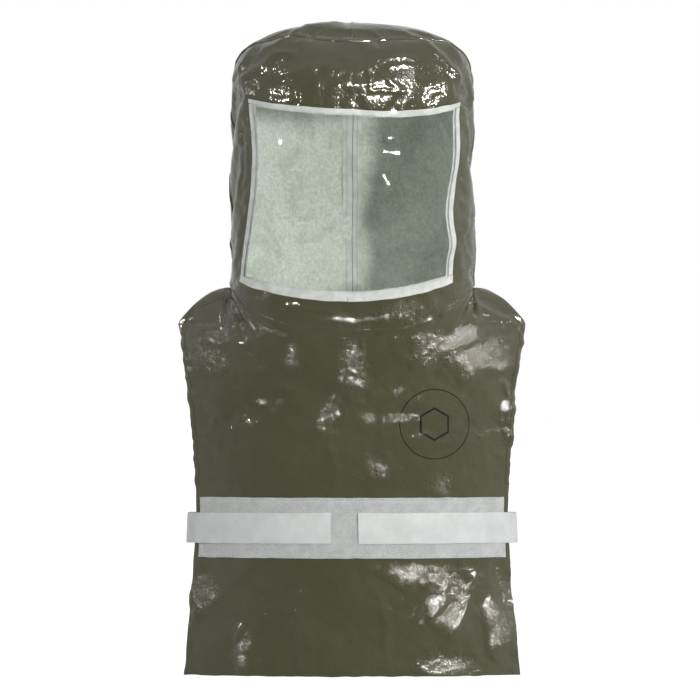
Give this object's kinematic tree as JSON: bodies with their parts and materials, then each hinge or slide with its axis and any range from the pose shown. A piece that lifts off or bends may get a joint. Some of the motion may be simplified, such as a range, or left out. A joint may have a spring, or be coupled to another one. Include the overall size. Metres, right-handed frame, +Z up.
{
  "type": "chemical protective hood",
  "caption": "Pull-over protective hood of coated olive fabric with a clear wrap-round visor, front and back shoulder bibs, and side straps that fasten to a band across the front.",
  "frame": {"origin": "inside of the crown, where the wearer's head or helmet holds the hood up", "axes": "+Z up the height of the hood, +Y from the visor to the back, +X to the right as seen from the front"},
  "size_m": [0.4334, 0.2408, 0.8137],
  "materials": {
    "coated_fabric": "glossy film outside, white nonwoven inside, crinkled",
    "clear_visor": "clear flexible sheet",
    "border_tape": "satin welded tape",
    "seam_tape": "matte",
    "loop_band": "brushed loop pile",
    "strap": "satin",
    "hook_pad": "hook pile",
    "elastic": "matte",
    "thread": "matte"
  },
  "bodies": {
    "hood_and_bib": {"hood_front_panel": "coated_fabric", "hood_back_left_panel": "coated_fabric", "hood_back_right_panel": "coated_fabric", "crown_seam_welt": "coated_fabric", "side_seam_welt_left": "coated_fabric", "side_seam_welt_right": "coated_fabric", "back_seam_ridge": "coated_fabric", "crown_seam_tape": "seam_tape", "side_seam_tape_left": "seam_tape", "side_seam_tape_right": "seam_tape", "back_seam_tape": "seam_tape", "visor_window": "clear_visor", "visor_tape_top": "border_tape", "visor_tape_bottom_left": "border_tape", "visor_tape_bottom_right": "border_tape", "visor_tape_left": "border_tape", "visor_tape_right": "border_tape", "visor_inner_tape": "seam_tape", "neck_welt_front": "coated_fabric", "neck_welt_back": "coated_fabric", "neck_tape_front": "seam_tape", "neck_tape_back": "seam_tape", "bib_front_panel": "coated_fabric", "bib_back_panel": "coated_fabric", "shoulder_welt_left": "coated_fabric", "shoulder_welt_right": "coated_fabric", "arm_elastic_left": "elastic", "arm_elastic_right": "elastic", "arm_hem_front_left": "coated_fabric", "arm_hem_front_right": "coated_fabric", "arm_hem_back_left": "coated_fabric", "arm_hem_back_right": "coated_fabric", "loop_band": "loop_band", "band_stitching": "thread", "strap_left_anchor": "strap", "strap_right_anchor": "strap", "anchor_stitching_left": "thread", "anchor_stitching_right": "thread"},
    "strap_left_wrap": {"strap_left_wrap": "strap"},
    "strap_left_tab": {"strap_left_tab": "strap", "hook_pad_left": "hook_pad"},
    "strap_right_wrap": {"strap_right_wrap": "strap"},
    "strap_right_tab": {"strap_right_tab": "strap", "hook_pad_right": "hook_pad"},
    "front_skirt": {"bib_front_skirt": "coated_fabric"},
    "back_skirt": {"bib_back_skirt": "coated_fabric"}
  },
  "joints": [
    {"name": "strap_left_swing", "type": "hinge", "parent": "hood_and_bib", "child": "strap_left_wrap", "pos_m": [-0.19524, 0.03243, -0.6285], "axis": [0, 0, -1], "range_deg": [0, 95]},
    {"name": "strap_left_peel", "type": "hinge", "parent": "strap_left_wrap", "child": "strap_left_tab", "pos_m": [-0.19676, -0.0341, -0.6285], "axis": [0, 0, -1], "range_deg": [0, 145]},
    {"name": "strap_right_swing", "type": "hinge", "parent": "hood_and_bib", "child": "strap_right_wrap", "pos_m": [0.19524, 0.03243, -0.6285], "axis": [0, 0, 1], "range_deg": [0, 95]},
    {"name": "strap_right_peel", "type": "hinge", "parent": "strap_right_wrap", "child": "strap_right_tab", "pos_m": [0.19676, -0.0341, -0.6285], "axis": [0, 0, 1], "range_deg": [0, 145]},
    {"name": "front_skirt_lift", "type": "hinge", "parent": "hood_and_bib", "child": "front_skirt", "pos_m": [0, -0.10252, -0.6715], "axis": [-1, 0, 0], "range_deg": [0, 75], "stiffness_Nm_per_rad": 0.04, "springref_deg": -34.38},
    {"name": "back_skirt_lift", "type": "hinge", "parent": "hood_and_bib", "child": "back_skirt", "pos_m": [0, 0.09252, -0.6715], "axis": [1, 0, 0], "range_deg": [0, 75], "stiffness_Nm_per_rad": 0.04, "springref_deg": -34.38}
  ]
}
